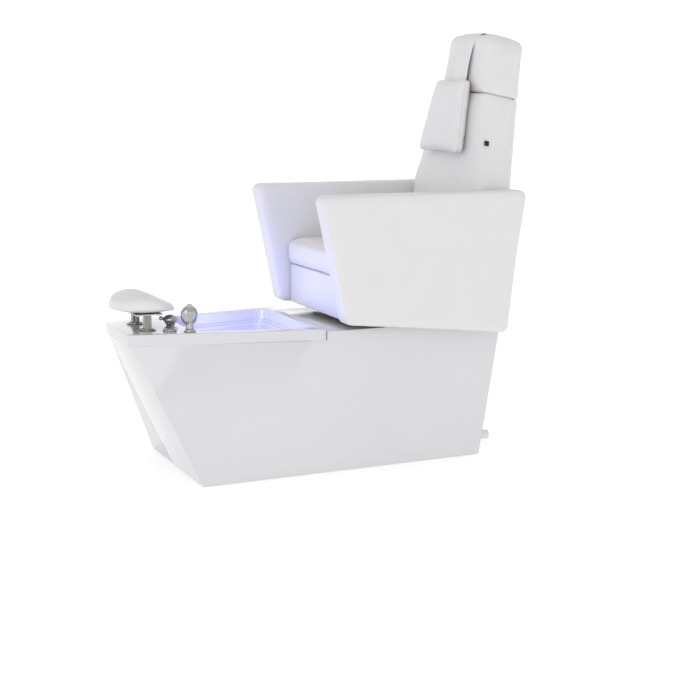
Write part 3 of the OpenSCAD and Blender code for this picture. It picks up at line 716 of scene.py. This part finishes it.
def make_strap():
    """The wide flap over the headrest: hangs off its face, wrinkles a little and runs down behind."""
    low, high = tilted_box("pillow_strap")
    face, top = tilted_box("headrest_cushion")[0].y, tilted_box("headrest_cushion")[1].z
    pillow_high = tilted_box("neck_pillow")[1]
    half = high.x
    hang = pillow_high.y - STRAP_SEWN
    down = high.y - STRAP_DOWN
    route = [
        Vector((0, hang, pillow_high.z - 10 * MM)),
        Vector((0, hang, pillow_high.z + 4 * MM)),
        Vector((0, (hang + face) / 2 - 10 * MM, (pillow_high.z + top) / 2)),
        Vector((0, face - 14 * MM, top - 26 * MM)),
        Vector((0, face + 2 * MM, top - 3 * MM)),
        Vector((0, face + 22 * MM, top + 3 * MM)),
        Vector((0, high.y - 34 * MM, top + 3 * MM)),
        Vector((0, high.y - 9 * MM, top - 5 * MM)),
        Vector((0, down, top - 28 * MM)),
        Vector((0, down, top - 80 * MM)),
        Vector((0, down, low.z)),
    ]
    line = through(route, 10)
    bm = bmesh.new()
    row = [bm.verts.new((half * (2 * k / STRAP_CELLS - 1), line[0].y, line[0].z))
           for k in range(STRAP_CELLS + 1)]
    edges = [bm.edges.new(pair) for pair in zip(row, row[1:])]
    for spot in line[1:]:
        made = bmesh.ops.extrude_edge_only(bm, edges=edges)["geom"]
        edges = [g for g in made if isinstance(g, bmesh.types.BMEdge)]
        for v in (g for g in made if isinstance(g, bmesh.types.BMVert)):
            v.co.y, v.co.z = spot.y, spot.z
    bmesh.ops.recalc_face_normals(bm, faces=bm.faces)
    for v in bm.verts:
        loose = ease(top, top - STRAP_LOOSE, v.co.z) if v.co.y < face + 5 * MM else 0.1
        long_fold = math.sin(v.co.x / half * 5.2 + 18 * (v.co.z - top))
        small_fold = noise.noise(Vector((v.co.x * 30, 0, v.co.z * 20)))
        v.co.y += STRAP_FOLD * loose * (long_fold + small_fold)
    bm.transform(TILTED)
    piece = object_from(bm, "pillow_strap_cloth")
    thick = piece.modifiers.new("thickness", "SOLIDIFY")
    thick.thickness = STRAP_THICK
    thick.offset = 0
    subdivide_once(piece)
    piece.data.materials.clear()
    piece.data.materials.append(MATERIALS["white_leather"])
    shade(piece, 60)
    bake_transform(piece)
    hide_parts("pillow_strap")


PAD_CROWN = 0.38            # the foot pad's thickest place, along its depth from the front
PAD_SEAM = 0.88             # where its top panel meets the side band, out from the middle
PAD_PLAN = 2.15             # 2 would be a true ellipse seen from above
PAD_HEEL = 0.62             # how far the top falls towards the heel, of the pad's height
PAD_TOE = 0.3               # and towards the front
PAD_RIM = 0.33              # height of the widest line, of the pad's height
PAD_DOME = 0.3              # how much the top panel falls from its middle to the seam


def make_foot_pad():
    """A stuffed oval wedge: thick towards the front, thin at the heel, seamed between top and side."""
    low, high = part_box("foot_pad")
    size = high - low
    middle = (low + high) / 2
    bm = bmesh.new()
    bmesh.ops.create_uvsphere(bm, u_segments=72, v_segments=40, radius=1)

    def stuffed(spot):
        out = min(1.0, math.hypot(spot.x, spot.y))
        spread = out ** 0.5 if out > 0 else 0
        if out > 0:
            turn = spot.to_2d() / out
            corner = (abs(turn.x) ** PAD_PLAN + abs(turn.y) ** PAD_PLAN) ** (-1 / PAD_PLAN)
            flat = turn * spread * corner
        else:
            flat = Vector((0, 0))
        back = (flat.y + 1) / 2
        drop = ease(PAD_CROWN, 1.05, back) * PAD_HEEL + ease(PAD_CROWN, -0.15, back) * PAD_TOE
        top = high.z - drop * size.z
        fall = 1.15 if back < PAD_CROWN else 0.75
        rim = low.z + size.z * (PAD_RIM - fall * (back - PAD_CROWN) ** 2)
        if spot.z >= 0:
            if spread < PAD_SEAM:
                dome = 1 - PAD_DOME * (spread / PAD_SEAM) ** 2
            else:
                side = (spread - PAD_SEAM) / (1 - PAD_SEAM)
                dome = (1 - PAD_DOME) * math.sqrt(max(0.0, 1 - side ** 2))
            z = rim + (top - rim) * dome
        else:
            z = rim - (rim - low.z) * math.sqrt(max(0.0, 1 - spread ** 3))
        return Vector((middle.x + flat.x * size.x / 2, middle.y + flat.y * size.y / 2, z))

    for v in bm.verts:
        v.co = stuffed(v.co)
    bmesh.ops.recalc_face_normals(bm, faces=bm.faces)
    piece = object_from(bm, "foot_pad_upholstery")
    relax(piece, 1)
    subdivide_once(piece)
    fit(piece, "footrest", "white_leather", replaced=("foot_pad",), angle=70)


def carve(piece, low, high):
    """Cuts a box out of a piece."""
    bm = bmesh.new()
    bmesh.ops.create_cube(bm, size=1)
    size = Vector(high) - Vector(low)
    bmesh.ops.scale(bm, vec=size, verts=bm.verts)
    bmesh.ops.translate(bm, vec=Vector(low) + size / 2, verts=bm.verts)
    cutter = object_from(bm, "cutter")
    cut = piece.modifiers.new("cut", "BOOLEAN")
    cut.operation = "DIFFERENCE"
    cut.object = cutter
    apply_modifiers(piece)
    bpy.data.objects.remove(cutter)


MIXER_FLARE = 8 * MM        # how far the mixer's foot spreads past its stem
BULB_OUT = 5.5 * MM         # how far the bulb stands out past the CAD cap
BULB_UP = 8 * MM            # and above it
BULB_WAIST = 0.42           # height of the bulb's widest line
LEVER_SLOT = 5.2 * MM       # half the width of the slot that the lever swings in


def make_mixer():
    """Mixer tap: a flared foot on the deck and a round swivelling bulb, slotted for the lever."""
    low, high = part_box("mixer_base")
    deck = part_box("deck_rim")[1].z
    middle = (low + high) / 2
    centre = Vector((middle.x, middle.y, 0))
    foot = high.x - middle.x
    stem = foot - MIXER_FLARE
    profile = [
        (0, low.z), (stem, low.z), (stem, deck), (foot, deck), (foot, deck + 2.2 * MM),
        (foot - 2 * MM, deck + 4 * MM), (stem + 1 * MM, deck + 5.5 * MM),
        (stem - 2 * MM, deck + 9 * MM), (stem - 1 * MM, high.z - 4 * MM),
        (stem + 2 * MM, high.z), (0, high.z),
    ]
    piece = object_from(spun(profile, centre, 56), "mixer_foot_finished")
    fit(piece, "chair_base", "chrome", replaced=("mixer_base",), angle=40)
    low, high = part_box("mixer_cap")
    bulb = high.x - middle.x + BULB_OUT
    tall = high.z - low.z + BULB_UP
    waist = low.z + BULB_WAIST * tall
    upper = (1 - BULB_WAIST) * tall
    turns = [math.radians(a) for a in range(-46, 90, 8)]
    profile = [(0, low.z)]
    profile += [(bulb * math.cos(a), waist + upper * math.sin(a)) for a in turns]
    profile += [(0, waist + upper)]
    piece = object_from(spun(profile, centre, 56), "mixer_bulb_finished")
    left, right = middle.x - LEVER_SLOT, middle.x + LEVER_SLOT
    front, rear = middle.y - 2 * bulb, middle.y + 2 * bulb
    carve(piece, (left, front, low.z + 6 * MM), (right, rear, high.z + 20 * MM))
    carve(piece, (left, middle.y + 13 * MM, low.z + 2 * MM), (right, rear, high.z))
    fit(piece, "mixer_swivel", "chrome", replaced=("mixer_cap",), angle=40)


HEAD_LIP = 3.6 * MM         # height of the shower head's rounded lip
HEAD_STRETCH = 1.35         # the head's lower half is drawn out towards the grip
GRIP_BORE = 11 * MM         # radius of the grip inside the holder
RIB_SPACING = 5 * MM
RIB_ROUND = 0.8 * MM
RIB_LEVELS = [              # height above the deck, reach from the stem, half width, spread
    (24 * MM, 9.6 * MM, 1.5 * MM, 0.9),
    (44 * MM, 10 * MM, 1.9 * MM, 1.0),
    (66 * MM, 8.6 * MM, 1.9 * MM, 1.25),
    (76 * MM, 5 * MM, 1.2 * MM, 1.3),
]
LUG = Vector((8, 17, 12)) * MM
LUG_ROUND = 2.4 * MM


def shower_head(radius, thick, middle):
    """The domed head, its lower half drawn out towards the grip."""
    profile = [(0, 0), (radius - 3.5 * MM, 0), (radius - 0.8 * MM, 1.2 * MM), (radius, HEAD_LIP)]
    for turn in (math.radians(a) for a in range(10, 90, 10)):
        profile.append((radius * math.cos(turn), HEAD_LIP + (thick - 4 * MM) * math.sin(turn)))
    profile.append((0, thick - 0.4 * MM))
    bm = spun(profile, middle, 64, axis=(1, 0, 0))
    for v in bm.verts:
        if v.co.z < middle.z:
            v.co.z = middle.z + (v.co.z - middle.z) * HEAD_STRETCH
    return bm


def grip_rib(stem, deck, offset):
    """One rib that runs from the grip up the back of the head."""
    rings = []
    for height, reach, half, spread in RIB_LEVELS:
        y = stem.y + offset * spread
        z = deck + height
        rings.append([(stem.x, y - half, z), (stem.x + reach, y - half, z),
                      (stem.x + reach, y + half, z), (stem.x, y + half, z)])
    rib = lofted(rings)
    round_edges(rib, sharp_edges(rib, 60), RIB_ROUND, 2)
    return rib


def make_hand_shower():
    """Round-headed hand shower in its holder: domed back, ribs down into the grip, a lug on top."""
    low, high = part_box("hand_shower")
    face_low, face_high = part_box("shower_face")
    holder_low, holder_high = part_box("shower_holder")
    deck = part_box("deck_rim")[1].z
    middle = (face_low + face_high) / 2
    stem = Vector(((holder_low.x + holder_high.x) / 2, middle.y, 0))
    bm = shower_head((high.y - low.y) / 2, high.x - face_high.x, Vector((face_high.x, middle.y, middle.z)))
    grip = [
        (0, low.z), (GRIP_BORE, low.z), (GRIP_BORE, deck + 9.5 * MM), (12.6 * MM, deck + 10.5 * MM),
        (12.9 * MM, deck + 14 * MM), (10.8 * MM, deck + 21 * MM), (9.2 * MM, deck + 29 * MM),
        (8.6 * MM, deck + 38 * MM), (0, deck + 40 * MM),
    ]
    merge_into(bm, spun(grip, stem, 40))
    for offset in (-RIB_SPACING, 0, RIB_SPACING):
        merge_into(bm, grip_rib(stem, deck, offset))
    lug = bmesh.new()
    bmesh.ops.create_cube(lug, size=1)
    bmesh.ops.scale(lug, vec=LUG, verts=lug.verts)
    bmesh.ops.translate(lug, vec=(stem.x, stem.y, high.z - LUG.z / 2), verts=lug.verts)
    round_edges(lug, lug.edges[:], LUG_ROUND, 3)
    merge_into(bm, lug)
    piece = object_from(bm, "hand_shower_finished")
    fit(piece, "shower", "chrome", replaced=("hand_shower",), angle=40)


def make_bellows():
    """The rubber bellows under the air button, with its edges eased."""
    bm = copy_of("button_bellows")
    round_edges(bm, sharp_edges(bm, 40), 0.4 * MM, 2)
    piece = object_from(bm, "button_bellows_finished")
    fit(piece, BODY_OF["button_bellows"], SLOT_OF["button_bellows"], replaced=("button_bellows",))
    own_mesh(piece)


def make_tag():
    """The blank sewn tag, moved out with the leather's fuller side."""
    bm = upright("blank_tag")
    bmesh.ops.translate(bm, vec=(WIDER, -PROUD / 2, 0), verts=bm.verts)
    round_edges(bm, sharp_edges(bm), 0.3 * MM, 2)
    bm.transform(TILTED)
    piece = object_from(bm, "blank_tag_finished")
    fit(piece, "backrest", "tag", replaced=("blank_tag",))


# ---- mouldings ----

RIM_ROUND = 5 * MM
FITTING_ROOM = 10 * MM      # how far round a fitting the rim's edges stay as they are


def make_rim():
    """The gloss rim, with its top edges rounded outside and down into the basin."""
    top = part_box("deck_rim")[1].z
    bm = copy_of("deck_rim")

    def on_top(edge):
        level = all(abs(v.co.z - top) < 0.1 * MM for v in edge.verts)
        return level and edge.calc_length() > 0.5 * MM and not near_fitting(edge)

    round_edges(bm, sharp_edges(bm, 60, on_top), RIM_ROUND, 4)
    piece = object_from(bm, "deck_rim_finished")
    fit(piece, "chair_base", "shell", replaced=("deck_rim",), angle=40)


def near_fitting(edge):
    """Whether an edge's middle lies by one of the fittings that stand in the rim."""
    spot = (edge.verts[0].co + edge.verts[1].co) / 2
    for node in ("mixer_base", "shower_holder", "button_bezel", "post_sleeves"):
        for low, high in fitting_boxes(node):
            if all(low[k] - FITTING_ROOM < spot[k] < high[k] + FITTING_ROOM for k in (0, 1)):
                return True
    return False


def fitting_boxes(node):
    """A fitting's box, or one box for each of the two sleeves."""
    low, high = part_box(node)
    if node != "post_sleeves":
        return [(low, high)]
    wide = high.y - low.y
    return [(low, Vector((low.x + wide, high.y, high.z))), (Vector((high.x - wide, low.y, low.z)), high)]


EASED_BY = {                # how far each hard part's edges are rounded, in millimetres
    "plinth_shell": 2.2, "access_panel": 1.0, "base_plate": 0.5, "seat_base": 1.2,
    "lower_rails": 0.8, "upper_rails": 0.8, "button_bezel": 1.6, "button_cap": 1.6,
    "post_sleeves": 1.0, "foot_plate": 0.8, "mixer_lever": 1.0, "shower_holder": 1.2,
    "shower_face": 0.5, "drain_strainer": 0.6, "drain_plug": 1.2, "drain_spigot": 1.0,
    "water_inlets": 0.8, "jet_nozzles": 1.2, "power_inlet": 0.8, "recliner_motor": 2.5,
    "control_box": 3.0, "foot_posts": 1.2,
}


def make_hard_parts():
    """Eases the hard parts' edges, and dresses the nodes that nothing has replaced."""
    for node, radius in EASED_BY.items():
        softened(node, radius * MM)
    for node, obj in frame["nodes"].items():
        if not obj.hide_render:
            obj.data.materials.clear()
            obj.data.materials.append(MATERIALS[SLOT_OF[node]])
            shade(obj, 30)


# ---- light ----

def area_light(name, spot, aim, size, power, colour=(1, 1, 1)):
    data = bpy.data.lights.new(name, "AREA")
    data.shape = "DISK"
    data.size = size
    data.energy = power
    data.color = colour
    light = bpy.data.objects.new(name, data)
    light.location = spot
    light.rotation_euler = (Vector(aim) - Vector(spot)).to_track_quat("-Z", "Y").to_euler()
    scene.collection.objects.link(light)


SKY = 0.8
FLOOR_RADIUS = 14
FLOOR_GLOW = 0.34
WALL_HEIGHT = 4.5


def make_studio():
    """A pale floor with a low wall far round it, an even sky, one large key and the basin's light."""
    world = bpy.data.worlds.new("studio")
    world.use_nodes = True
    world.node_tree.nodes["Background"].inputs["Color"].default_value = (1, 1, 1, 1)
    world.node_tree.nodes["Background"].inputs["Strength"].default_value = SKY
    scene.world = world
    scene.view_settings.view_transform = "Standard"
    bm = bmesh.new()
    bmesh.ops.create_circle(bm, cap_ends=True, segments=64, radius=FLOOR_RADIUS)
    border = [e for e in bm.edges if len(e.link_faces) == 1]
    wall = bmesh.ops.extrude_edge_only(bm, edges=border)["geom"]
    top = [g for g in wall if isinstance(g, bmesh.types.BMVert)]
    bmesh.ops.translate(bm, vec=(0, 0, WALL_HEIGHT), verts=top)
    floor = object_from(bm, "floor")
    material, shader = new_material("pale_floor", (0.86, 0.86, 0.865), 0.6)
    tint(material, shader, noise_at(material, 2, 2), (0.85, 0.85, 0.855), (0.88, 0.88, 0.885))
    shader.inputs["Emission Color"].default_value = (1, 1, 1, 1)
    shader.inputs["Emission Strength"].default_value = FLOOR_GLOW
    floor.data.materials.append(material)
    area_light("key", (4.2, -3.0, 2.6), (0, 0, 0.6), size=2.6, power=24)
    low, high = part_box("basin")
    middle = (low + high) / 2
    above_water = (0, (low.y + middle.y) / 2, high.z - 30 * MM)
    area_light("basin_glow", above_water, (0, 0.5, 1.2), size=0.25, power=1.5, colour=(0.36, 0.4, 1.0))


place_camera()
make_arms()
make_seat()
make_back()
make_pillow()
make_strap()
make_foot_pad()
make_rim()
make_mixer()
make_hand_shower()
make_bellows()
make_tag()
make_hard_parts()
make_studio()
